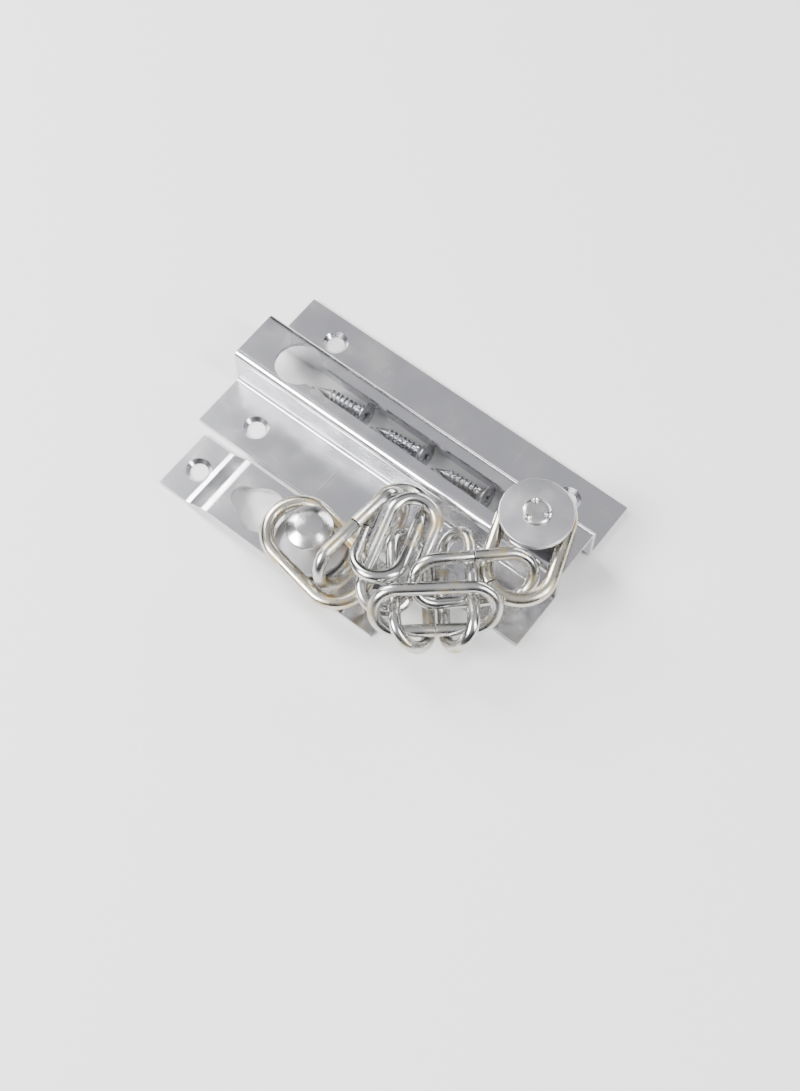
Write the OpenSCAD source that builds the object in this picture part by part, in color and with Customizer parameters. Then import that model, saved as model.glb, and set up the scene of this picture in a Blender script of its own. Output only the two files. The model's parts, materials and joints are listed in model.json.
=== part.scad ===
// Chain restrictor for a door or casement window: a slotted track that screws to the moving leaf,
// a short keyholed anchor plate that screws to the frame, and a chain of bent-wire links between
// two riveted studs. Millimetres, +Z out of the mounting face, +X along the track.

/* [Track] */
// Length of the track
track_l = 100; // [88:1:140]
// Overall width of the track, across both flanges
track_w = 46; // [42:1:56]
// Outside width of the raised channel
channel_w = 15.5; // [15.2:0.1:19]
// Outside height of the raised channel
channel_h = 13; // [11.5:0.5:18]
// Thickness of the sheet that track and anchor plate are pressed from
sheet_t = 1.2; // [1:0.1:1.5]
// Inside radius of the bends in the sheet
bend_r = 0.8; // [0.4:0.1:1.2]
// Clearance of the stud's neck in the slot, both sides together
slot_play = 1.6; // [0.6:0.1:2.2]
// Clearance of the stud's head in a keyhole, both sides together
keyhole_play = 0.6; // [0.4:0.1:0.8]
// From the track's open end to the centre of the keyhole
keyhole_inset = 14.7; // [12:0.1:20]
// From the track's closed end to the centre of the slot's round end
slot_inset = 11.5; // [10:0.1:18]
// From each end of the track to its screw holes
track_hole_inset = 13; // [8:0.5:20]
// Distance between screw holes across the track
track_hole_gauge = 32; // [30:0.5:36]

/* [Anchor plate] */
// Length of the anchor plate
anchor_l = 67; // [64:1:90]
// Width of the anchor plate
anchor_w = 17; // [16:0.5:22]
// Height of the raised middle, to its top face
anchor_h = 4.2; // [4.2:0.1:6]
// Length of each flat end
anchor_lip_l = 9.5; // [9:0.5:14]
// Length along the plate that each step takes
anchor_step_l = 5.5; // [3:0.5:7]
// From each end of the plate to its screw hole
anchor_hole_inset = 5.5; // [4.5:0.5:7]
// From the plate's middle to the centre of the keyhole's large lobe
anchor_keyhole_offset = 7.2; // [6:0.1:9]
// From the centre of the large lobe to the centre of the small one
anchor_keyhole_run = 5.7; // [5:0.1:7]
// Width of the keyhole's small lobe
anchor_slot_w = 6.5; // [6:0.1:7]
// Middle of the anchor plate, measured from the track's middle
anchor_x = -12.5; // [-30:0.5:30]
// Gap between the plate's long edge and the track's
anchor_gap = 2.5; // [1:0.5:20]

/* [Studs] */
// Diameter of the stud's head
stud_head_d = 11.4; // [10.5:0.1:12]
// Thickness of the stud's head
stud_head_t = 2.5; // [2:0.1:2.6]
// Diameter of the flat on top of the head
stud_flat_d = 6.6; // [5:0.1:8]
// Depth of the cone between the flat and the head's edge
stud_cone_h = 1.5; // [1:0.1:1.8]
// Diameter of the stud's neck
stud_neck_d = 5; // [4.5:0.1:5.4]
// Length of the neck between head and disc
stud_neck_l = 6.8; // [6.7:0.1:8]
// Diameter of the tenon that holds the disc
stud_tenon_d = 3.8; // [3:0.1:4]
// Diameter of the riveted end over the disc
rivet_d = 7; // [6:0.1:8]
// Height of the riveted end over the disc
rivet_h = 0.9; // [0.6:0.1:1.2]
// Diameter of the disc
disc_d = 18; // [17:0.1:20]
// Thickness of the disc
disc_t = 1.5; // [1.2:0.1:2]
// Clearance between the stud's head and the inside of the track, along the stud
head_play = 0.3; // [0.2:0.05:0.6]
// Clearance between the anchor stud's riveted end and the anchor plate below it
disc_play = 0.2; // [0.1:0.05:0.3]

/* [Chain] */
// Inside length of a link
link_in_l = 25.3; // [24.8:0.1:26.5]
// Inside width of a link
link_in_w = 8.3; // [8:0.1:9.2]
// Diameter of a link's wire
link_wire_d = 3.1; // [2.8:0.1:3.2]
// Inside length of an end ring
ring_in_l = 26; // [25.5:0.1:28]
// Inside width of an end ring
ring_in_w = 12; // [11.8:0.1:13]
// Diameter of an end ring's wire
ring_wire_d = 3.5; // [3:0.1:3.6]
// Open seam between the two ends of each piece of wire
seam_gap = 0.3; // [0.2:0.05:0.5]
// Clearance between touching pieces of wire
wire_play = 0.5; // [0.45:0.05:0.6]

/* [Screws] */
// Clearance hole for a screw
screw_hole_d = 4.6; // [4:0.1:5.2]
// Height of a screw hole's straight wall, below its countersink
screw_hole_land = 0.2; // [0.1:0.05:0.4]
// Diameter of a countersunk screw's head
screw_head_d = 7.2; // [6.4:0.1:7.4]
// Diameter of a screw's shank
screw_shank_d = 3.6; // [3:0.1:4]
// Length of a screw over its head
screw_l = 16; // [12:0.5:18]

/* [Hidden] */
$fn = 96;
cut = 1;
seat_play = 0.04;
point_d = 0.4;
screw_rim_h = 0.4;

chrome = "silver";
satin = "gainsboro";
tarnish = "lightgray";

slot_w = stud_neck_d + slot_play;
keyhole_d = stud_head_d + keyhole_play;
keyhole_x = keyhole_inset - track_l / 2;
slot_end_x = track_l / 2 - slot_inset;
track_hole_x = track_l / 2 - track_hole_inset;
anchor_y = -track_w / 2 - anchor_gap - anchor_w / 2;
anchor_hole_x = anchor_l / 2 - anchor_hole_inset;
anchor_flat_l = anchor_l - 2 * anchor_lip_l - 2 * anchor_step_l;

// The slider stands at the closed end of the slot, head under the sheet and disc on top.
slider_x = slot_end_x - 1;
slider_head_z = channel_h - sheet_t - head_play - stud_head_t;
slider_disc_z = slider_head_z + stud_head_t + stud_neck_l;

// Each loop of wire is [outside length, outside width, wire diameter].
function loop_size(in_l, in_w, wire_d) = [in_l + 2 * wire_d, in_w + 2 * wire_d, wire_d];
link_size = loop_size(link_in_l, link_in_w, link_wire_d);
ring_size = loop_size(ring_in_l, ring_in_w, ring_wire_d);
LOOPS = [ring_size, link_size, link_size, link_size, link_size, link_size, link_size,
         link_size, ring_size];

// Turn of the slider's ring as [roll, pitch, yaw], and how far its centre lies from the neck.
slider_ring_turn = [0, -3, 110];
slider_ring_reach = 6;
slider_ring_lift = 0.6;

// How the chain lies heaped beside the track, one row per loop after the slider's ring:
// [place on the loop before, place on this loop, azimuth and elevation from that wire to this
// one, roll, pitch, yaw of this loop]. A place runs from 0 to 4 round a loop: 0 to 1 along one
// side, to 2 round the far end, to 3 back along the other side and to 4 round the near end.
HEAP = [[3.60, 2.15, -200, -80, 50, 5, 45],
        [0.45, 0.25, 5, -85, 55, 0, -50],
        [1.75, 2.30, 125, 40, 55, 0, 40],
        [2.65, 1.25, -50, -50, -45, 0, -50],
        [3.10, 2.55, -145, 25, -15, 10, -75],
        [2.00, 1.65, -90, 85, 5, -15, -70],
        [3.35, 3.50, -30, 15, -70, 0, -95],
        [1.45, 2.05, -110, -35, 5, 0, -10]];

// Where the seam is on each loop, in the same places round it.
SEAMS = [3.75, 0.5, 2.6, 2.5, 2.4, 0.5, 2.45, 2.5, 0.6];

// Where the anchor stud passes through its ring, in the ring's own length and width.
anchor_stud_seat = [-4.5, 1.5, 0];

// A vector turned by roll about X, then pitch about Y, then yaw about Z.
function rolled(v, a) = [v[0], v[1] * cos(a) - v[2] * sin(a), v[1] * sin(a) + v[2] * cos(a)];
function pitched(v, a) = [v[0] * cos(a) + v[2] * sin(a), v[1], v[2] * cos(a) - v[0] * sin(a)];
function yawed(v, a) = [v[0] * cos(a) - v[1] * sin(a), v[0] * sin(a) + v[1] * cos(a), v[2]];
function turned(v, t) = yawed(pitched(rolled(v, t[0]), t[1]), t[2]);

// Half the straight side of a loop, and the radius of its wire's centre line at the ends.
function half_side(size) = (size[0] - size[1]) / 2;
function end_r(size) = (size[1] - size[2]) / 2;

// The point at place p on the centre line of a loop.
function loop_point(size, p) =
    let (a = half_side(size), r = end_r(size), k = 180 * (p - floor(p)))
    p < 1 ? [2 * a * p - a, r, 0] :
    p < 2 ? [a + r * sin(k), r * cos(k), 0] :
    p < 3 ? [a - 2 * a * (p - 2), -r, 0] :
    [-a - r * sin(k), -r * cos(k), 0];

// The way along a side or round an end at place p, in degrees about the loop's own Z.
function loop_heading(p) = p < 1 ? 0 : p < 2 ? -180 * (p - 1) : p < 3 ? 180 : 180 - 180 * (p - 3);

function unit(azimuth, elevation) =
    [cos(elevation) * cos(azimuth), cos(elevation) * sin(azimuth), sin(elevation)];

// Turn and centre of loop i. Each loop hangs on the one before with wire_play between wires.
function loop_turn(i) = i == 0 ? slider_ring_turn : [for (k = [4:6]) HEAP[i - 1][k]];
function wire_reach(i) = (LOOPS[i][2] + LOOPS[i - 1][2]) / 2 + wire_play;
function first_centre() =
    [slider_x, 0, channel_h + ring_wire_d / 2 + slider_ring_lift]
    - turned([slider_ring_reach, 0, 0], [0, 0, slider_ring_turn[2]]);
function loop_centre(i) =
    i == 0 ? first_centre() :
    loop_centre(i - 1)
    + turned(loop_point(LOOPS[i - 1], HEAP[i - 1][0]), loop_turn(i - 1))
    + unit(HEAP[i - 1][2], HEAP[i - 1][3]) * wire_reach(i)
    - turned(loop_point(LOOPS[i], HEAP[i - 1][1]), loop_turn(i));

anchor_ring_centre = loop_centre(8);
anchor_stud_xy = anchor_ring_centre + turned(anchor_stud_seat, [0, 0, loop_turn(8)[2]]);
anchor_disc_z = anchor_h + rivet_h + disc_play;

// Quarter of a bend: a ring sector from the bend's centre towards +X and +Y.
module bend_sector() {
    intersection() {
        difference() {
            circle(r = bend_r + sheet_t);
            circle(r = bend_r);
        }
        square(bend_r + sheet_t);
    }
}

// Half of the track's section: channel top, wall and flange, with two round bends.
module track_half_section() {
    outer_r = bend_r + sheet_t;
    wall_x = channel_w / 2;
    square_w = wall_x - outer_r;
    translate([-cut / 10, channel_h - sheet_t]) square([square_w + cut / 10, sheet_t]);
    translate([wall_x - outer_r, channel_h - outer_r]) bend_sector();
    translate([wall_x - sheet_t, outer_r]) square([sheet_t, channel_h - 2 * outer_r]);
    translate([wall_x - sheet_t + outer_r, outer_r]) rotate(180) bend_sector();
    translate([wall_x - sheet_t + outer_r, 0])
        square([track_w / 2 - wall_x + sheet_t - outer_r, sheet_t]);
}

// Screw hole with its 90 degree countersink, from the mounting face up through a sheet.
module countersunk_hole() {
    sink_h = sheet_t - screw_hole_land + cut;
    translate([0, 0, -cut]) cylinder(d = screw_hole_d, h = sheet_t + 2 * cut);
    translate([0, 0, screw_hole_land])
        cylinder(d1 = screw_hole_d, d2 = screw_hole_d + 2 * sink_h, h = sink_h);
}

module track_plate() {
    color(satin) difference() {
        translate([-track_l / 2, 0, 0]) rotate([90, 0, 90]) linear_extrude(track_l) {
            track_half_section();
            mirror([1, 0]) track_half_section();
        }
        // keyhole, slot and the slot's round end
        translate([keyhole_x, 0, channel_h / 2]) cylinder(d = keyhole_d, h = channel_h);
        translate([slot_end_x, 0, channel_h / 2]) cylinder(d = slot_w, h = channel_h);
        translate([keyhole_x, -slot_w / 2, channel_h / 2])
            cube([slot_end_x - keyhole_x, slot_w, channel_h]);
        for (x = [-track_hole_x, track_hole_x], y = [-track_hole_gauge, track_hole_gauge] / 2)
            translate([x, y, 0]) countersunk_hole();
    }
}

// Side view of the anchor plate: flat ends, two steps and a raised middle.
module anchor_section() {
    flat = anchor_flat_l / 2;
    foot = flat + anchor_step_l;
    under = anchor_h - sheet_t;
    tip = anchor_l / 2;
    slant = atan2(under, anchor_step_l);
    inset = sheet_t * tan(slant / 2);
    polygon([[-tip, 0], [-foot + inset, 0], [-flat + inset, under], [flat - inset, under],
             [foot - inset, 0], [tip, 0], [tip, sheet_t], [foot, sheet_t], [flat, anchor_h],
             [-flat, anchor_h], [-foot, sheet_t], [-tip, sheet_t]]);
}

module anchor_plate() {
    color(satin) translate([anchor_x, anchor_y, 0]) difference() {
        translate([0, anchor_w / 2, 0]) rotate([90, 0, 0]) linear_extrude(anchor_w)
            anchor_section();
        translate([-anchor_keyhole_offset, 0, cut]) cylinder(d = keyhole_d, h = anchor_h);
        translate([-anchor_keyhole_offset - anchor_keyhole_run, 0, cut])
            cylinder(d = anchor_slot_w, h = anchor_h);
        translate([-anchor_keyhole_offset - anchor_keyhole_run, -anchor_slot_w / 2, cut])
            cube([anchor_keyhole_run, anchor_slot_w, anchor_h]);
        for (x = [-anchor_hole_x, anchor_hole_x]) translate([x, 0, 0]) countersunk_hole();
    }
}

// A stud from its flat-topped head (z = 0 at the top of the flat, going down) to the rivet.
module stud() {
    edge_h = stud_head_t - stud_cone_h;
    neck_z = -stud_head_t - stud_neck_l;
    translate([0, 0, -stud_cone_h]) cylinder(d1 = stud_head_d, d2 = stud_flat_d, h = stud_cone_h);
    translate([0, 0, -stud_head_t]) cylinder(d = stud_head_d, h = edge_h);
    translate([0, 0, neck_z]) cylinder(d = stud_neck_d, h = stud_neck_l);
    translate([0, 0, neck_z - disc_t]) cylinder(d = stud_tenon_d, h = disc_t);
    translate([0, 0, neck_z - disc_t - rivet_h]) rivet();
}

// The riveted end: a low button staked by three punch marks round a small dimple.
module rivet() {
    mark_r = rivet_d / 4;
    difference() {
        cylinder(d1 = rivet_d - rivet_h, d2 = rivet_d, h = rivet_h);
        for (k = [0:2]) rotate(120 * k + 30) translate([rivet_d / 2, 0, -cut / 4])
            cylinder(r = mark_r / 2, h = rivet_h / 2 + cut / 4);
        translate([0, 0, -rivet_d / 8]) sphere(r = rivet_d / 4);
    }
}

module stud_disc() {
    difference() {
        cylinder(d = disc_d, h = disc_t);
        translate([0, 0, -cut]) cylinder(d = stud_tenon_d + seat_play, h = disc_t + 2 * cut);
    }
}

module slider_stud() {
    color(chrome) translate([slider_x, 0, slider_head_z]) rotate([180, 0, 0]) stud();
}

module slider_disc() {
    color(satin) translate([slider_x, 0, slider_disc_z]) stud_disc();
}

module anchor_stud() {
    top_z = anchor_disc_z + disc_t + stud_neck_l + stud_head_t;
    color(chrome) translate([anchor_stud_xy[0], anchor_stud_xy[1], top_z]) stud();
}

module anchor_disc() {
    color(satin) translate([anchor_stud_xy[0], anchor_stud_xy[1], anchor_disc_z]) stud_disc();
}

// A piece of wire bent to a loop, its square-cut ends meeting at an open seam.
module wire_loop(size, seam) {
    a = half_side(size);
    r = end_r(size);
    difference() {
        union() {
            for (s = [-1, 1])
                translate([-a, s * r, 0]) rotate([0, 90, 0]) cylinder(d = size[2], h = 2 * a);
            for (s = [0, 180]) rotate(s) translate([a, 0, 0]) rotate(-90)
                rotate_extrude(angle = 180) translate([r, 0]) circle(d = size[2]);
        }
        translate(loop_point(size, seam)) rotate(loop_heading(seam))
            cube([seam_gap, size[2] + cut, size[2] + cut], center = true);
    }
}

// Loop i of the chain where it lies: 0 is the slider's ring and 8 the anchor's.
module chain_loop(i) {
    color(i == 0 || i == 8 ? tarnish : chrome)
        translate(loop_centre(i)) rotate(loop_turn(i)) wire_loop(LOOPS[i], SEAMS[i]);
}

// A countersunk screw from the flat of its head down its own -Z, with a pointed end.
module screw() {
    sink_h = (screw_head_d - screw_shank_d) / 2;
    point_h = screw_shank_d;
    translate([0, 0, -screw_rim_h]) cylinder(d = screw_head_d, h = screw_rim_h);
    translate([0, 0, -screw_rim_h - sink_h])
        cylinder(d1 = screw_shank_d, d2 = screw_head_d, h = sink_h);
    translate([0, 0, point_h - screw_l])
        cylinder(d = screw_shank_d, h = screw_l - point_h - sink_h - screw_rim_h);
    translate([0, 0, -screw_l]) cylinder(d1 = point_d, d2 = screw_shank_d, h = point_h);
}

// A screw lying on its head's rim and the end of its shank, head at +X or -X of the point x, y.
module lying_screw(x, y, way) {
    tilt = atan((screw_head_d - screw_shank_d) / 2 / (screw_l - screw_shank_d - screw_rim_h));
    centre_z = screw_head_d / 2 * cos(tilt) - (screw_l / 2 - screw_rim_h) * sin(tilt);
    translate([x, y, centre_z]) rotate([0, (90 - tilt) * way, 0])
        translate([0, 0, screw_l / 2]) screw();
}

// Two screws lying side by side in the channel, heads at opposite ends.
module screw_pair(x) {
    lane = (channel_w / 2 - sheet_t - screw_head_d / 2) - 0.3;
    lying_screw(x, -lane, -1);
    lying_screw(x, lane, 1);
}

module track_screws() {
    color(chrome) for (x = [-24, -5]) screw_pair(x);
}

module anchor_screws() {
    color(chrome) screw_pair(14);
}

track_plate();
anchor_plate();
slider_disc();
slider_stud();
chain_loop(0);  // slider_ring
chain_loop(1);  // link_1
chain_loop(2);  // link_2
chain_loop(3);  // link_3
chain_loop(4);  // link_4
chain_loop(5);  // link_5
chain_loop(6);  // link_6
chain_loop(7);  // link_7
chain_loop(8);  // anchor_ring
anchor_stud();
anchor_disc();
track_screws();
anchor_screws();
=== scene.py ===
import json
import math

import bpy
import numpy as np
from mathutils import Matrix, Vector


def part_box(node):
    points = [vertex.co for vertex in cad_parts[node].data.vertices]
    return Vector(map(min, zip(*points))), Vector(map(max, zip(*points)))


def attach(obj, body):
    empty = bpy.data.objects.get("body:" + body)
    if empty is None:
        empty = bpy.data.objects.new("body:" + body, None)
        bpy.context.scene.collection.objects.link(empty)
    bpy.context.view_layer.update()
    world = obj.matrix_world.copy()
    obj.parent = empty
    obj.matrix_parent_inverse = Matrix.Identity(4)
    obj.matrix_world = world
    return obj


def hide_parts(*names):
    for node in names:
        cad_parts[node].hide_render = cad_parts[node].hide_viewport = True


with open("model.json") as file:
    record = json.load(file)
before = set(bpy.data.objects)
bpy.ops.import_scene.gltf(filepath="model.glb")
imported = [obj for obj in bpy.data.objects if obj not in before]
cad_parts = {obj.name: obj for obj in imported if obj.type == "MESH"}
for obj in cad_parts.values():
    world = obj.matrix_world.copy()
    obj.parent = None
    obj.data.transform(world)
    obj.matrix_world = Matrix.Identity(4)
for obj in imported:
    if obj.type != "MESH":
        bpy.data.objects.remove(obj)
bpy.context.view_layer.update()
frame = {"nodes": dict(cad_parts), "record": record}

mm = 0.001
weld = 0.001 * mm  # points nearer than this are one point
near = 0.01 * mm  # how far off its fold an edge may be
nodes = frame["nodes"]
bodies = frame["record"]["behaviour"]["bodies"]
bodyOf = {node: body for body, members in bodies.items() for node in members}
slotOf = {part["node"]: part["material_slot"] for part in frame["record"]["subparts"]}

camera = {"place": (0.1164, -0.1489, 0.3549), "turn": (25.16, 0.39, 38.06), "lens": 72, "sensor": 36,
          "nearest": 0.01}
studio = {"floor": 3.0, "floorColour": (0.90, 0.90, 0.89), "floorRough": 0.7,
          "backdrop": (0.80, 0.80, 0.80), "sky": 1.0, "blue": 1.04}
softboxes = {  # place, size in metres, watts
    "key": ((-0.32, -0.55, 0.56), (0.40, 0.28), 14.0),
    "left": ((-0.62, 0.10, 0.50), (0.22, 0.50), 8.0),
    "right": ((0.60, 0.05, 0.50), (0.16, 0.55), 6.0),
    "back": ((0.10, 0.72, 0.30), (0.70, 0.10), 3.5),
}
# how bright the sky is from straight down (0) through the horizon (0.5) to straight up (1)
skyTones = ((0.0, 0.40), (0.46, 0.30), (0.50, 0.01), (0.66, 0.02), (0.78, 0.12), (0.88, 0.50), (1.0, 0.76))


def setCamera():
    data = bpy.data.cameras.new("camera")
    data.lens = camera["lens"]
    data.sensor_width = camera["sensor"]
    data.sensor_fit = "HORIZONTAL"
    data.clip_start = camera["nearest"]
    viewer = bpy.data.objects.new("camera", data)
    viewer.location = camera["place"]
    viewer.rotation_euler = [math.radians(a) for a in camera["turn"]]
    bpy.context.scene.collection.objects.link(viewer)
    bpy.context.scene.camera = viewer


def setLights():
    for name, (place, size, watts) in softboxes.items():
        data = bpy.data.lights.new(name, "AREA")
        data.shape = "RECTANGLE"
        data.size, data.size_y = size
        data.energy = watts
        lamp = bpy.data.objects.new(name, data)
        lamp.location = place
        lamp.rotation_euler = (-Vector(place)).to_track_quat("-Z", "Y").to_euler()
        bpy.context.scene.collection.objects.link(lamp)


def setSky():
    world = bpy.data.worlds.new("studio")
    bpy.context.scene.world = world
    world.use_nodes = True
    tree = world.node_tree
    sky = tree.nodes["Background"]
    sky.inputs["Strength"].default_value = studio["sky"]
    around = tree.nodes.new("ShaderNodeTexCoord")
    split = tree.nodes.new("ShaderNodeSeparateXYZ")
    height = tree.nodes.new("ShaderNodeMapRange")
    ramp = tree.nodes.new("ShaderNodeValToRGB")
    height.inputs["From Min"].default_value = -1
    while len(ramp.color_ramp.elements) < len(skyTones):
        ramp.color_ramp.elements.new(0.5)
    for stop, (place, tone) in zip(ramp.color_ramp.elements, skyTones):
        stop.position = place
        stop.color = (tone, tone, tone * studio["blue"], 1)
    # past the floor the camera sees the pale backdrop, while the metal mirrors the graded sky
    eye = tree.nodes.new("ShaderNodeLightPath")
    seen = tree.nodes.new("ShaderNodeMix")
    seen.data_type = "RGBA"
    seen.inputs[7].default_value = (*studio["backdrop"], 1)
    tree.links.new(around.outputs["Generated"], split.inputs[0])
    tree.links.new(split.outputs["Z"], height.inputs["Value"])
    tree.links.new(height.outputs[0], ramp.inputs[0])
    tree.links.new(eye.outputs["Is Camera Ray"], seen.inputs[0])
    tree.links.new(ramp.outputs[0], seen.inputs[6])
    tree.links.new(seen.outputs[2], sky.inputs["Color"])


class Number:  # a value in a material's node tree, which can be added and multiplied
    def __init__(self, finish, socket):
        self.finish, self.socket = finish, socket

    def work(self, operation, first, second):
        made = self.finish.node("ShaderNodeMath", {"operation": operation}, {0: first, 1: second})
        return Number(self.finish, made.outputs[0])

    def __add__(self, other):
        return self.work("ADD", self, other)

    def __mul__(self, other):
        return self.work("MULTIPLY", self, other)

    __radd__ = __add__
    __rmul__ = __mul__


class Finish:  # a material and short ways to add nodes to it
    def __init__(self, name):
        self.material = bpy.data.materials.new(name)
        self.material.use_nodes = True
        self.tree = self.material.node_tree
        self.shader = self.tree.nodes["Principled BSDF"]
        self.place = self.node("ShaderNodeTexCoord").outputs["Object"]

    def node(self, kind, settings=None, values=None):
        made = self.tree.nodes.new(kind)
        for key, value in (settings or {}).items():
            setattr(made, key, value)
        for key, value in (values or {}).items():
            self.give(made.inputs[key], value)
        return made

    def give(self, socket, value):
        value = value.socket if isinstance(value, Number) else value
        if isinstance(value, bpy.types.NodeSocket):
            self.tree.links.new(value, socket)
        else:
            socket.default_value = value

    def noise(self, scale, detail=3.0, roughness=0.5, stretch=(1, 1, 1), turn=(0, 0, 0)):
        angles = [math.radians(a) for a in turn]
        mapped = self.node("ShaderNodeMapping", {},
                           {"Vector": self.place, "Scale": stretch, "Rotation": angles})
        made = self.node("ShaderNodeTexNoise", {}, {"Vector": mapped.outputs[0], "Scale": scale,
                                                    "Detail": detail, "Roughness": roughness})
        return Number(self, made.outputs["Fac"])

    def span(self, value, low, high, toLow=0.0, toHigh=1.0):
        made = self.node("ShaderNodeMapRange", {"interpolation_type": "SMOOTHSTEP"},
                         {"Value": value, "From Min": low, "From Max": high,
                          "To Min": toLow, "To Max": toHigh})
        return Number(self, made.outputs[0])

    def mix(self, factor, first, second):
        made = self.node("ShaderNodeMix", {"data_type": "RGBA"})
        self.give(made.inputs[0], factor)
        for socket, colour in ((made.inputs[6], first), (made.inputs[7], second)):
            self.give(socket, (*colour, 1.0) if isinstance(colour, tuple) else colour)
        return made.outputs[2]


# base colour, tarnish colour and how much of it, lowest and highest roughness, scratch and ripple depth
metals = {
    "pressed_chrome": dict(base=(0.65, 0.65, 0.68), stain=(0.58, 0.54, 0.45), stained=0.20,
                           gloss=(0.20, 0.27), scratch=0.55, ripple=0.08),
    "satin_nickel": dict(base=(0.62, 0.62, 0.65), stain=(0.56, 0.52, 0.44), stained=0.30,
                         gloss=(0.32, 0.42), scratch=0.45, ripple=0.06),
    "turned_chrome": dict(base=(0.66, 0.66, 0.66), stain=(0.42, 0.38, 0.30), stained=0.25,
                          gloss=(0.16, 0.30), scratch=0.70, ripple=0.12),
    "ring_wire": dict(base=(0.60, 0.57, 0.49), stain=(0.46, 0.32, 0.12), stained=0.90,
                      gloss=(0.20, 0.36), scratch=0.50, ripple=0.30),
    "link_wire": dict(base=(0.56, 0.56, 0.55), stain=(0.44, 0.34, 0.16), stained=0.75,
                      gloss=(0.18, 0.33), scratch=0.50, ripple=0.30),
    "screw_zinc": dict(base=(0.50, 0.51, 0.53), stain=(0.34, 0.32, 0.26), stained=0.40,
                       gloss=(0.22, 0.38), scratch=0.20, ripple=0.20),
}

# each noise: scale, detail, roughness; the scratches are drawn out along one way and turned
grain = {"cloud": (90, 4, 0.6), "spots": (260, 5, 0.65), "ripple": (420, 2, 0.5), "steel": (900, 3, 0.6),
         "turned": (160, 4, 0.6), "turnedRipple": (420,), "along": (500, 2, 0.7, (0.03, 6, 6), (0, 0, 24)),
         "across": (500, 2, 0.7, (6, 0.04, 6), (0, 0, -11))}
# where each noise starts and ends to show
spans = {"along": (0.66, 0.74), "across": (0.68, 0.76), "stain": (0.50, 0.62), "turnedStain": (0.52, 0.68),
         "gloss": (0.35, 0.70), "steel": (0.3, 0.7)}
rougher = {"scratch": 0.08, "stain": 0.12, "turning": 0.06}  # how much each mark adds to the roughness
relief = {"pressed": (0.5, 0.04 * mm), "turned": (0.35, 0.03 * mm)}  # strength and depth of the bumps
scratchDepth = -0.15  # scratches go into the surface
# the fine rings left by the lathe
turning = {"Scale": 900, "Distortion": 0.6, "Detail": 3, "Detail Scale": 2}
# colours of the cut wire ends: dull bare steel, darkened to near black as painted shade in the seam gap
seamShadeAndBareSteel = {"dark": (0.05, 0.045, 0.04), "light": (0.14, 0.12, 0.10), "gloss": (0.45, 0.65)}


def setMetal(finish, look, stain, rough, height, kind):
    inputs = finish.shader.inputs
    strength, depth = relief[kind]
    bump = finish.node("ShaderNodeBump", {}, {"Strength": strength, "Distance": depth, "Height": height})
    inputs["Metallic"].default_value = 1.0
    finish.give(inputs["Base Color"], finish.mix(stain, look["base"], look["stain"]))
    finish.give(inputs["Roughness"], rough)
    finish.give(inputs["Normal"], bump.outputs[0])
    return finish.material


def metalFinish(name, look):
    finish = Finish(name)
    cloud, spots, ripple, along, across = (
        finish.noise(*grain[kind]) for kind in ("cloud", "spots", "ripple", "along", "across"))
    scratches = finish.span(along, *spans["along"]) + finish.span(across, *spans["across"])
    stain = finish.span(cloud * 0.6 + spots * 0.4, *spans["stain"], 0.0, look["stained"])
    gloss = finish.span(cloud, *spans["gloss"], *look["gloss"])
    rough = gloss + scratches * rougher["scratch"] + stain * rougher["stain"]
    height = ripple * look["ripple"] + scratches * (look["scratch"] * scratchDepth)
    return setMetal(finish, look, stain, rough, height, "pressed")


def lathedFinish(name, look, centre):
    # turning marks: fine rings round the piece's own axis
    finish = Finish(name)
    place = finish.node("ShaderNodeMapping", {}, {"Vector": finish.place, "Location": [-c for c in centre]})
    rings = finish.node("ShaderNodeTexWave", {"wave_type": "RINGS", "rings_direction": "Z"},
                        {"Vector": place.outputs[0], **turning})
    marks = Number(finish, rings.outputs["Fac"])
    cloud = finish.noise(*grain["turned"])
    stain = finish.span(cloud, *spans["turnedStain"], 0.0, look["stained"])
    rough = finish.span(cloud, *spans["gloss"], *look["gloss"]) + marks * rougher["turning"]
    height = marks * look["scratch"] + finish.noise(*grain["turnedRipple"]) * look["ripple"]
    return setMetal(finish, look, stain, rough, height, "turned")


def seamShadeAndBareEndFinish():
    # bare steel, gone dull, where the wire was cropped, and painted near black as painted shade in the seam
    # gap
    finish = Finish("seamShadeAndBareEnd")
    steel = finish.noise(*grain["steel"])
    inputs = finish.shader.inputs
    inputs["Metallic"].default_value = 1.0
    finish.give(inputs["Base Color"], finish.mix(steel, seamShadeAndBareSteel["dark"], seamShadeAndBareSteel["light"]))
    finish.give(inputs["Roughness"], finish.span(steel, *spans["steel"], *seamShadeAndBareSteel["gloss"]))
    return finish.material


def floorFinish():
    finish = Finish("paleFloor")
    finish.shader.inputs["Base Color"].default_value = (*studio["floorColour"], 1)
    finish.shader.inputs["Roughness"].default_value = studio["floorRough"]
    return finish.material


def deselect():
    if bpy.context.object and bpy.context.object.mode != "OBJECT":
        bpy.ops.object.mode_set(mode="OBJECT")
    bpy.ops.object.select_all(action="DESELECT")


def pick(piece):
    deselect()
    piece.select_set(True)
    bpy.context.view_layer.objects.active = piece


def edit(piece, kind="VERT"):
    pick(piece)
    bpy.ops.object.mode_set(mode="EDIT")
    bpy.ops.mesh.select_mode(type=kind)


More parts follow.
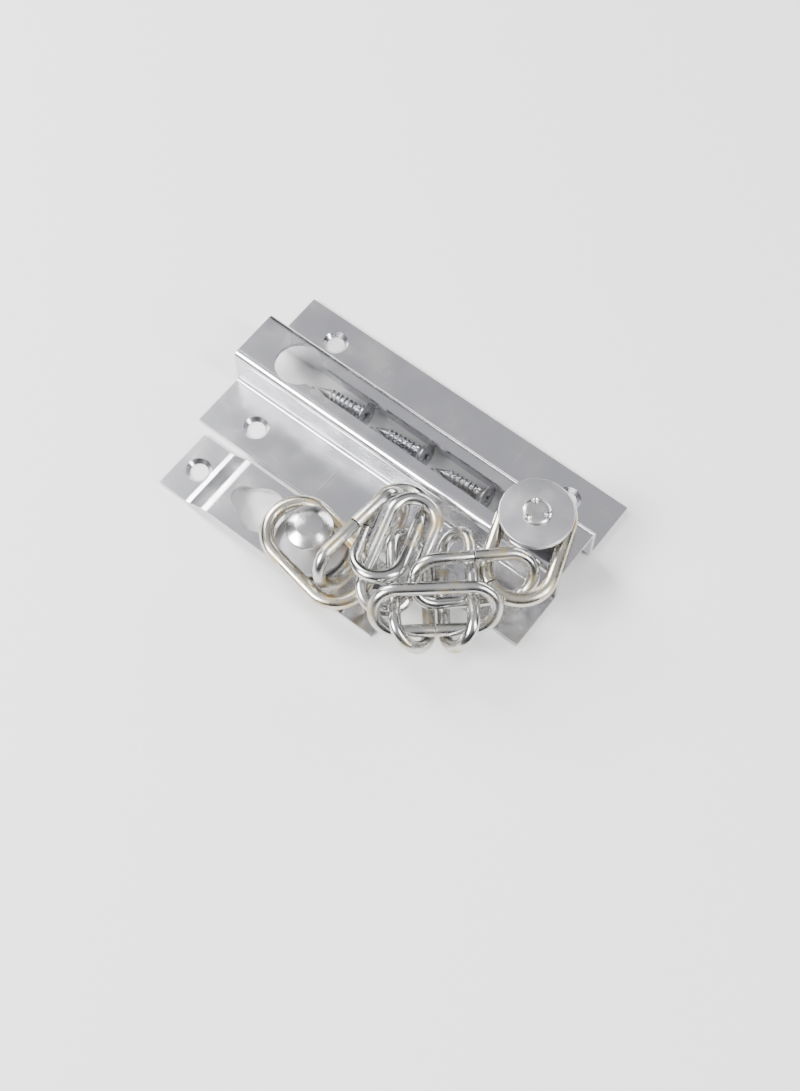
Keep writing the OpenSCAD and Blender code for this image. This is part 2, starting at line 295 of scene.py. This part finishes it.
def choose(piece, test, kind="FACE"):
    # selects the vertices, edges or faces that pass the test, and stays in edit mode
    edit(piece, kind)
    bpy.ops.mesh.select_all(action="DESELECT")
    bpy.ops.object.mode_set(mode="OBJECT")
    mesh = piece.data
    if kind == "FACE":
        for face in mesh.polygons:
            face.select = test(face.center, face.normal)
    elif kind == "EDGE":
        for line in mesh.edges:
            ends = [mesh.vertices[v].co for v in line.vertices]
            line.select = test((ends[0] + ends[1]) / 2, ends[1] - ends[0])
    else:
        for point in mesh.vertices:
            point.select = test(point.co, point.normal)
    bpy.ops.object.mode_set(mode="EDIT")


def finishMesh(piece, angle=35):
    # merges doubles, turns the faces outwards and shades edges below the angle smooth
    edit(piece)
    bpy.ops.mesh.select_all(action="SELECT")
    bpy.ops.mesh.remove_doubles(threshold=weld)
    bpy.ops.mesh.normals_make_consistent(inside=False)
    bpy.ops.object.mode_set(mode="OBJECT")
    bpy.ops.object.shade_smooth_by_angle(angle=math.radians(angle))


def applyAll(piece):
    pick(piece)
    bpy.ops.object.transform_apply(location=True, rotation=True, scale=True)


def useModifier(piece, kind, **settings):
    pick(piece)
    made = piece.modifiers.new(kind.lower(), kind)
    for key, value in settings.items():
        setattr(made, key, value)
    bpy.ops.object.modifier_apply(modifier=made.name)


def closeHoles():
    # fills the open edges of the piece being edited, and leaves edit mode
    bpy.ops.mesh.select_all(action="DESELECT")
    bpy.ops.mesh.select_non_manifold()
    bpy.ops.mesh.fill_holes(sides=0)
    bpy.ops.object.mode_set(mode="OBJECT")


def cutAway(piece, cutter):
    useModifier(piece, "BOOLEAN", object=cutter, operation="DIFFERENCE", solver="EXACT")
    bpy.data.objects.remove(cutter)


def turnedPiece(name, stations, sides=96):
    # a turned piece: a round face pushed up and resized from station to station, (height, radius)
    deselect()
    height, radius = stations[0]
    bpy.ops.mesh.primitive_circle_add(vertices=sides, radius=radius, fill_type="NGON",
                                      location=(0, 0, height))
    piece = bpy.context.object
    piece.name = name
    applyAll(piece)
    bpy.ops.object.mode_set(mode="EDIT")
    bpy.ops.mesh.select_mode(type="FACE")
    bpy.ops.mesh.select_all(action="SELECT")
    for nextHeight, nextRadius in stations[1:]:
        step = (0, 0, nextHeight - height)
        bpy.ops.mesh.extrude_region_move(TRANSFORM_OT_translate={"value": step})
        grow = nextRadius / radius
        bpy.ops.transform.resize(value=(grow, grow, 1), center_override=(0, 0, nextHeight))
        height, radius = nextHeight, nextRadius
    bpy.ops.object.mode_set(mode="OBJECT")
    return piece


def roundedRim(radius, low, high, corner, steps=4):
    # stations up the side of a disc with both rims rounded
    turns = [math.pi / 2 * k / steps for k in range(steps + 1)]
    lower = [(low + corner - corner * math.cos(t), radius - corner + corner * math.sin(t)) for t in turns]
    upper = [(high - corner + corner * math.sin(t), radius - corner + corner * math.cos(t)) for t in turns]
    return lower + upper


def dress(piece, node, *materials):
    # gives a piece its finishes and its body, and hides the CAD node that it stands for
    while len(piece.data.materials) < len(materials):
        piece.data.materials.append(None)
    for number, material in enumerate(materials):
        piece.data.materials[number] = material
    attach(piece, bodyOf[node])
    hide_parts(node)


# sides round the wire, steps in a half turn, gap at the seam, chamfer of the cut ends, and how squarely
# a face has to look along the wire to be one of them
wire = {"sides": 40, "bendSteps": 32, "seam": 0.30 * mm, "chamfer": 0.10 * mm, "alongWire": 0.97}


def triangles(mesh):
    mesh.calc_loop_triangles()
    points = np.array([v.co for v in mesh.vertices])
    return points[np.array([t.vertices for t in mesh.loop_triangles])]


def ownAxes(corners):
    # middle and principal directions of a surface, longest first, from its exact second moments
    across = np.cross(corners[:, 1] - corners[:, 0], corners[:, 2] - corners[:, 0])
    areas = np.linalg.norm(across, axis=1) / 2
    sums = corners.sum(axis=1)
    middle = (areas[:, None] * sums / 3).sum(axis=0) / areas.sum()
    shifted = corners - middle
    sums = shifted.sum(axis=1)
    inner = np.einsum("tij,tik->tjk", shifted, shifted) + np.einsum("tj,tk->tjk", sums, sums)
    moments = (areas[:, None, None] * inner / 12).sum(axis=0)
    axes = np.linalg.eigh(moments)[1].T[::-1]
    if np.linalg.det(axes) < 0:
        axes[2] *= -1
    return middle, axes


def measureLoop(node):
    corners = triangles(nodes[node].data)
    middle, axes = ownAxes(corners)
    local = (corners - middle) @ axes.T
    low, high = local.reshape(-1, 3).min(axis=0), local.reshape(-1, 3).max(axis=0)
    middle = middle + ((low + high) / 2) @ axes
    local = (corners - middle) @ axes.T
    length, width, thick = high - low
    loop = {"middle": middle, "axes": axes, "radius": thick / 2, "half": (length - width) / 2,
            "bend": (width - thick) / 2}
    # the cut faces are the ones that face along the wire, not out from it
    normals = np.cross(local[:, 1] - local[:, 0], local[:, 2] - local[:, 0])
    normals /= np.maximum(np.linalg.norm(normals, axis=1, keepdims=True), 1e-12)
    centres = local.mean(axis=1)
    hub = np.clip(centres[:, 0], -loop["half"], loop["half"])
    out = np.stack([centres[:, 0] - hub, centres[:, 1], 0 * hub], axis=1)
    out /= np.linalg.norm(out, axis=1, keepdims=True)
    facing = np.abs(normals[:, 0] * out[:, 1] - normals[:, 1] * out[:, 0]) > wire["alongWire"]
    seam = centres[facing].mean(axis=0)
    loop["seam"] = Vector((seam[0], seam[1], 0))
    return loop


def wireMoves(loop, seam):
    # runs and bends, clockwise from the seam and back to it
    half, bend = loop["half"], loop["bend"]
    gap = wire["seam"]
    if abs(seam.x) <= half:
        side = 1 if seam.y > 0 else -1
        ahead = half - side * seam.x
        moves = [("run", ahead - gap / 2, side), ("bend", math.pi, side), ("run", 2 * half, -side),
                 ("bend", math.pi, -side), ("run", 2 * half - ahead - gap / 2, side)]
        return Vector((seam.x + side * gap / 2, side * bend, 0)), 0, moves
    end = 1 if seam.x > 0 else -1
    done = math.atan2(end * (seam.x - end * half), end * seam.y)
    nick = gap / 2 / bend
    moves = [("bend", math.pi - done - nick, end), ("run", 2 * half, -end), ("bend", math.pi, -end),
             ("run", 2 * half, end), ("bend", done - nick, end)]
    turn = done + nick
    start = Vector((end * (half + bend * math.sin(turn)), end * bend * math.cos(turn), 0))
    return start, -turn, moves


def wireLoop(node):
    loop = measureLoop(node)
    start, heading, moves = wireMoves(loop, loop["seam"])
    deselect()
    bpy.ops.mesh.primitive_circle_add(vertices=wire["sides"], radius=loop["radius"], location=start,
                                      rotation=(math.pi / 2, 0, math.pi / 2 + heading))
    piece = bpy.context.object
    piece.name = node + "Wire"
    piece.data.materials.append(None)
    piece.data.materials.append(None)
    applyAll(piece)
    bpy.ops.object.mode_set(mode="EDIT")
    bpy.ops.mesh.select_mode(type="VERT")
    bpy.ops.mesh.select_all(action="SELECT")
    for kind, amount, way in moves:
        if kind == "run":
            bpy.ops.mesh.extrude_region_move(TRANSFORM_OT_translate={"value": (way * amount, 0, 0)})
        else:
            steps = max(2, round(wire["bendSteps"] * amount / math.pi))
            bpy.ops.mesh.spin(steps=steps, angle=amount, center=(way * loop["half"], 0, 0), axis=(0, 0, 1))
    closeHoles()
    # the two cut ends are the faces with many sides; they get their own near-black material, which is
    # painted shade for the seam gap, and a fine chamfer
    edit(piece, "FACE")
    bpy.ops.mesh.select_all(action="DESELECT")
    bpy.ops.object.mode_set(mode="OBJECT")
    for face in piece.data.polygons:
        face.select = len(face.vertices) == wire["sides"]
        face.material_index = 1 if face.select else 0
    bpy.ops.object.mode_set(mode="EDIT")
    bpy.ops.mesh.region_to_loop()
    bpy.ops.mesh.bevel(offset=wire["chamfer"], segments=3, affect="EDGES")
    bpy.ops.object.mode_set(mode="OBJECT")
    pose = Matrix([list(axis) for axis in loop["axes"]]).transposed().to_4x4()
    pose.translation = loop["middle"]
    piece.data.transform(pose)
    finishMesh(piece)
    return piece


track = dict(sheet=1.2 * mm, bendRadius=1.4 * mm, channel=15.5 * mm, keyhole=12 * mm, keyholeX=-35.3 * mm,
             slot=6.6 * mm, slotEnd=38.5 * mm, holes=(37 * mm, 16 * mm), edge=0.14 * mm)
anchor = dict(lip=9.5 * mm, step=5.5 * mm, bendRadius=1.0 * mm, holeX=28 * mm, keyholeX=-7.2 * mm,
              neckX=-12.9 * mm, neck=6.5 * mm, edge=0.14 * mm)
screwHole = dict(bore=4.6 * mm, rim=6.6 * mm, sides=72, under=0.2 * mm)
# how both plates are folded, punched and softened; folds run straight along the sheet
press = dict(foldSegments=10, straight=0.99, softAngle=35, smoothAngle=40, punchSides=96)


def foldedStrip(name, turns, span, direction):
    # a strip pulled out of its first edge from fold to fold, (across, up); span is its reach along X or Y
    deselect()
    (firstAcross, firstUp), (nextAcross, nextUp) = turns[0], turns[1]
    low, high = span
    bpy.ops.mesh.primitive_plane_add(size=1)
    strip = bpy.context.object
    strip.name = name
    corners = [(firstAcross, firstUp, low), (nextAcross, nextUp, low), (firstAcross, firstUp, high),
               (nextAcross, nextUp, high)]
    for vertex, (across, up, along) in zip(strip.data.vertices, corners):
        vertex.co = (along, across, up) if direction == "X" else (across, along, up)
    side = 1 if direction == "X" else 0
    for (fromAcross, fromUp), (toAcross, toUp) in zip(turns[1:-1], turns[2:]):
        move = [0, 0, toUp - fromUp]
        move[side] = toAcross - fromAcross

        def atFold(middle, way, at=(fromAcross, fromUp)):
            return abs(middle[side] - at[0]) < near and abs(middle.z - at[1]) < near

        choose(strip, atFold, "EDGE")
        bpy.ops.mesh.extrude_edges_move(TRANSFORM_OT_translate={"value": move})
        bpy.ops.object.mode_set(mode="OBJECT")
    return strip


def bendFolds(strip, turns, radius, direction):
    side = 1 if direction == "X" else 0

    def onFold(middle, way):
        if abs(way.normalized()[1 - side]) < press["straight"]:
            return False
        return any(abs(middle[side] - across) < near and abs(middle.z - up) < near
                   for across, up in turns[1:-1])

    choose(strip, onFold, "EDGE")
    bpy.ops.mesh.bevel(offset=radius, segments=press["foldSegments"], affect="EDGES", profile=0.5)
    bpy.ops.object.mode_set(mode="OBJECT")


def drillHole(piece, x, y, sheet):
    # a straight bore, then a right-angled countersink by a cone from inside the bore to above the face
    bore, rim, sides, under = (screwHole[key] for key in ("bore", "rim", "sides", "under"))
    deselect()
    bpy.ops.mesh.primitive_cylinder_add(vertices=sides, radius=bore / 2, depth=sheet * 6,
                                        location=(x, y, sheet / 2))
    cutAway(piece, bpy.context.object)
    deselect()
    deep = (rim - bore) / 2 + under
    bpy.ops.mesh.primitive_cone_add(vertices=sides, radius1=bore / 2 - under, radius2=rim / 2 + sheet,
                                    depth=deep + sheet, location=(x, y, sheet + (sheet - deep) / 2))
    cutAway(piece, bpy.context.object)


def cutRound(piece, x, y, z, width, depth, stretch=0.0):
    # a round punch, drawn out by stretch towards -X where it cuts a slot
    deselect()
    bpy.ops.mesh.primitive_cylinder_add(vertices=press["punchSides"], radius=width / 2, depth=depth,
                                        location=(x, y, z))
    punch = bpy.context.object
    applyAll(punch)
    if stretch:
        choose(punch, lambda place, way: place.x < x - weld, "VERT")
        bpy.ops.transform.translate(value=(-stretch, 0, 0))
        bpy.ops.object.mode_set(mode="OBJECT")
    cutAway(piece, punch)


def softenEdges(piece, width):
    useModifier(piece, "BEVEL", width=width, segments=2, limit_method="ANGLE",
                angle_limit=math.radians(press["softAngle"]), harden_normals=False)
    finishMesh(piece, press["smoothAngle"])
    useModifier(piece, "WEIGHTED_NORMAL", keep_sharp=True)


def trackPlate():
    low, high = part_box("track_plate")
    sheet = track["sheet"]
    middle = sheet / 2
    wall = track["channel"] / 2 - middle
    top = high.z - middle
    turns = [(low.y, middle), (-wall, middle), (-wall, top), (wall, top), (wall, middle), (high.y, middle)]
    plate = foldedStrip("trackPlate", turns, (low.x, high.x), "X")
    bendFolds(plate, turns, track["bendRadius"], "X")
    useModifier(plate, "SOLIDIFY", thickness=sheet, offset=0, use_even_offset=True)
    finishMesh(plate)
    run = track["slotEnd"] - track["keyholeX"]
    cutRound(plate, track["slotEnd"], 0, high.z, track["slot"], high.z, run)
    cutRound(plate, track["keyholeX"], 0, high.z, track["keyhole"], high.z)
    x, y = track["holes"]
    for holeX, holeY in ((-x, -y), (-x, y), (x, -y), (x, y)):
        drillHole(plate, holeX, holeY, sheet)
    softenEdges(plate, track["edge"])
    return plate


def anchorPlate():
    low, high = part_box("anchor_plate")
    sheet = track["sheet"]
    middle = sheet / 2
    top = high.z - middle
    foot = anchor["lip"]
    flat = anchor["lip"] + anchor["step"]
    turns = [(low.x, middle), (low.x + foot, middle), (low.x + flat, top), (high.x - flat, top),
             (high.x - foot, middle), (high.x, middle)]
    plate = foldedStrip("anchorPlate", turns, (low.y, high.y), "Y")
    bendFolds(plate, turns, anchor["bendRadius"], "Y")
    useModifier(plate, "SOLIDIFY", thickness=sheet, offset=0, use_even_offset=True)
    finishMesh(plate)
    centre = (low + high) / 2
    cutRound(plate, centre.x + anchor["keyholeX"], centre.y, high.z, track["keyhole"], high.z)
    cutRound(plate, centre.x + anchor["neckX"], centre.y, high.z, anchor["neck"], high.z)
    for side in (-1, 1):
        drillHole(plate, centre.x + side * anchor["holeX"], centre.y, sheet)
    softenEdges(plate, anchor["edge"])
    return plate


# the rivet's profile runs from its dimple to its rim: height in mm, and share of its radius
stud = dict(head=11.4 * mm, headThick=2.5 * mm, flat=6.6 * mm, cone=1.5 * mm, neck=5 * mm,
            neckLong=6.8 * mm, tenon=3.8 * mm, rivet=7 * mm, rivetHigh=0.9 * mm, disc=1.5 * mm,
            soft=0.15 * mm, faceDownTurn=-75, marks=3, firstMark=30, markReach=0.41, markBall=1.0 * mm,
            markProud=0.20 * mm, markSoft=0.06 * mm,
            rivetProfile=((0.10, 0.40), (0, 0.62), (0.06, 0.80), (0.25, 0.94), (0.50, 1), (0.66, 1),
                          (0.89, 0.90)))
disc = dict(sides=128, corner=0.22 * mm, play=0.04 * mm)
turnedAngle = 30  # edges of turned pieces sharper than this stay sharp


def studBody(name):
    # from the riveted end (low) up to the flat of the head, as it stands head up
    r = {key: stud[key] / 2 for key in ("head", "flat", "neck", "tenon", "rivet")}  # radii
    rivetTop = stud["rivetHigh"]
    neckLow = rivetTop + stud["disc"]
    headLow = neckLow + stud["neckLong"]
    headTop = headLow + stud["headThick"]
    coneLow = headTop - stud["cone"]
    soft = stud["soft"]
    stations = [(high * mm, share * r["rivet"]) for high, share in stud["rivetProfile"]]
    stations += [(rivetTop, r["tenon"]), (neckLow, r["tenon"]), (neckLow, r["neck"]), (headLow, r["neck"]),
                 (headLow, r["head"] - soft), (headLow + soft, r["head"]), (coneLow - soft, r["head"]),
                 (coneLow, r["head"] - soft / 3), (headTop - soft / 2, r["flat"] + soft),
                 (headTop, r["flat"] - soft)]
    body = turnedPiece(name, stations)
    finishMesh(body, turnedAngle)
    return body


def punchRivet(body):
    # round punch marks stake the rim of the riveted end
    reach = stud["markReach"] * stud["rivet"]
    for k in range(stud["marks"]):
        turn = math.radians(360 / stud["marks"] * k + stud["firstMark"])
        place = (reach * math.cos(turn), reach * math.sin(turn), -stud["markProud"])
        deselect()
        bpy.ops.mesh.primitive_uv_sphere_add(segments=32, ring_count=16, radius=stud["markBall"],
                                             location=place)
        cutAway(body, bpy.context.object)
    useModifier(body, "BEVEL", width=stud["markSoft"], segments=2, limit_method="ANGLE",
                angle_limit=math.radians(turnedAngle))
    finishMesh(body, turnedAngle)


def standStud(node, headUp):
    low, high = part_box(node)
    centre = (low + high) / 2
    body = studBody(node + "Turned")
    punchRivet(body)
    if headUp:
        body.location = (centre.x, centre.y, low.z)
    else:
        body.rotation_euler = (math.pi, 0, math.radians(stud["faceDownTurn"]))
        body.location = (centre.x, centre.y, high.z)
    applyAll(body)
    return body


def discPiece(node):
    low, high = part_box(node)
    centre = (low + high) / 2
    rim = roundedRim((high.x - low.x) / 2, low.z, high.z, disc["corner"])
    piece = turnedPiece(node + "Turned", rim, disc["sides"])
    piece.location = (centre.x, centre.y, 0)
    applyAll(piece)
    finishMesh(piece, turnedAngle)
    cutRound(piece, centre.x, centre.y, centre.z, stud["tenon"] + disc["play"], 4 * stud["disc"])
    finishMesh(piece, turnedAngle)
    return piece


screw = dict(head=7.2 * mm, shank=3.6 * mm, core=2.7 * mm, long=16 * mm, rim=0.4 * mm, tip=0.3 * mm,
             pitch=1.4 * mm, recess=3.6 * mm, recessWide=0.9 * mm, recessDeep=1.3 * mm, recessTaper=0.45,
             sides=48, bare=(1.2 * mm, 0.8 * mm), soft=(0.1 * mm, 0.15 * mm), root=0.1 * mm,
             flank=0.45 * mm, crest=0.06 * mm, threadEnds=(0.5 * mm, 1.0 * mm), threadSteps=28, spin=40)


def screwBody(name):
    # stands on its point, head up, with its head's flat at the top
    long = screw["long"]
    head, shank, core = (screw[key] / 2 for key in ("head", "shank", "core"))
    under = long - screw["rim"] - (head - shank)
    bareLow, bareHigh = screw["bare"]
    softHigh, softWide = screw["soft"]
    stations = [(0, screw["tip"] / 2), (screw["shank"], core), (under - bareLow, core),
                (under - bareHigh, shank), (under, shank), (long - screw["rim"], head),
                (long - softHigh, head), (long, head - softWide)]
    body = turnedPiece(name, stations, screw["sides"])
    finishMesh(body, turnedAngle)
    for turn in (0, math.pi / 2):
        deselect()
        bpy.ops.mesh.primitive_cube_add(size=1, location=(0, 0, long))
        blade = bpy.context.object
        blade.scale = (screw["recess"], screw["recessWide"], 2 * screw["recessDeep"])
        blade.rotation_euler = (0, 0, turn)
        applyAll(blade)
        choose(blade, lambda middle, normal: normal.z < -0.9)
        bpy.ops.transform.resize(value=(screw["recessTaper"], screw["recessTaper"], 1),
                                 center_override=(0, 0, long - screw["recessDeep"]))
        bpy.ops.object.mode_set(mode="OBJECT")
        cutAway(body, blade)
    finishMesh(body, turnedAngle)
    # the thread is a ridge of four corners wound round the core
    deselect()
    bpy.ops.mesh.primitive_circle_add(vertices=4, radius=screw["flank"], fill_type="NOTHING")
    ridge = bpy.context.object
    root, flank, crest = core - screw["root"], screw["flank"], screw["crest"]
    corners = ((root, -flank), (shank, -crest), (shank, crest), (root, flank))
    start = screw["shank"] + screw["threadEnds"][0]
    for vertex, (out, up) in zip(ridge.data.vertices, corners):
        vertex.co = (out, 0, start + up)
    turns = int((under - screw["threadEnds"][1] - start) / screw["pitch"])
    useModifier(ridge, "SCREW", angle=math.tau, screw_offset=screw["pitch"], iterations=turns,
                steps=screw["threadSteps"], render_steps=screw["threadSteps"], use_merge_vertices=False)
    edit(ridge)
    closeHoles()
    finishMesh(ridge, 50)
    pick(body)
    ridge.select_set(True)
    bpy.ops.object.join()
    return body


def screwPoses(node):
    # where each screw of a group lies: its tip, and its axis towards its head
    copy = bpy.data.objects.new("measure", nodes[node].data.copy())
    bpy.context.scene.collection.objects.link(copy)
    edit(copy)
    bpy.ops.mesh.select_all(action="SELECT")
    bpy.ops.mesh.remove_doubles(threshold=weld)
    bpy.ops.mesh.separate(type="LOOSE")
    bpy.ops.object.mode_set(mode="OBJECT")
    poses = []
    for part in list(bpy.context.selected_objects):
        corners = triangles(part.data)
        middle, axes = ownAxes(corners)
        local = (corners.reshape(-1, 3) - middle) @ axes.T
        if np.linalg.norm(local[np.argmax(local[:, 0]), 1:]) < screw["core"] / 4:
            axes[0] *= -1
            local[:, 0] *= -1
        poses.append((middle + axes[0] * local[:, 0].min(), axes[0]))
        bpy.data.objects.remove(part)
    return sorted(poses, key=lambda pose: (round(pose[0][0], 4), pose[0][1]))


def layScrews(node, pattern):
    group = []
    for number, (point, axis) in enumerate(screwPoses(node)):
        copy = bpy.data.objects.new(f"{node}Body{number}", pattern.data.copy())
        bpy.context.scene.collection.objects.link(copy)
        turn = Vector((0, 0, 1)).rotation_difference(Vector(axis)).to_matrix().to_4x4()
        spin = Matrix.Rotation(math.radians(screw["spin"] * number), 4, "Z")
        copy.data.transform(Matrix.Translation(Vector(point)) @ turn @ spin)
        group.append(copy)
    return group


setCamera()
setLights()
setSky()
print("studio set")

deselect()
bpy.ops.mesh.primitive_plane_add(size=studio["floor"], location=(0, 0, 0))
floor = bpy.context.object
floor.name = "floor"
floor.data.materials.append(floorFinish())

finishes = {name: metalFinish(name, look) for name, look in metals.items() if name != "turned_chrome"}
# the cut ends' finish: dull bare steel with painted shade for the seam gap
seamShadeAndBareEnd = seamShadeAndBareEndFinish()
print("finishes made")

loops = [node for node in nodes if node.startswith("link_") or node.endswith("_ring")]
for node in sorted(loops):
    # the cut ends get the near-black finish, which is painted shade in the seam gap
    dress(wireLoop(node), node, finishes[slotOf[node]], seamShadeAndBareEnd)
print("chain made")

dress(trackPlate(), "track_plate", finishes["pressed_chrome"])
dress(anchorPlate(), "anchor_plate", finishes["pressed_chrome"])
print("plates made")

for node, headUp in (("slider_stud", False), ("anchor_stud", True)):
    low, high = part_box(node)
    middle = (low + high) / 2
    finish = lathedFinish(node + "Turning", metals["turned_chrome"], (middle.x, middle.y, 0))
    dress(standStud(node, headUp), node, finish)
for node in ("slider_disc", "anchor_disc"):
    dress(discPiece(node), node, finishes["satin_nickel"])
print("studs and discs made")

pattern = screwBody("screwPattern")
for node in ("track_screws", "anchor_screws"):
    for piece in layScrews(node, pattern):
        dress(piece, node, finishes["screw_zinc"])
bpy.data.objects.remove(pattern)
print("screws made")
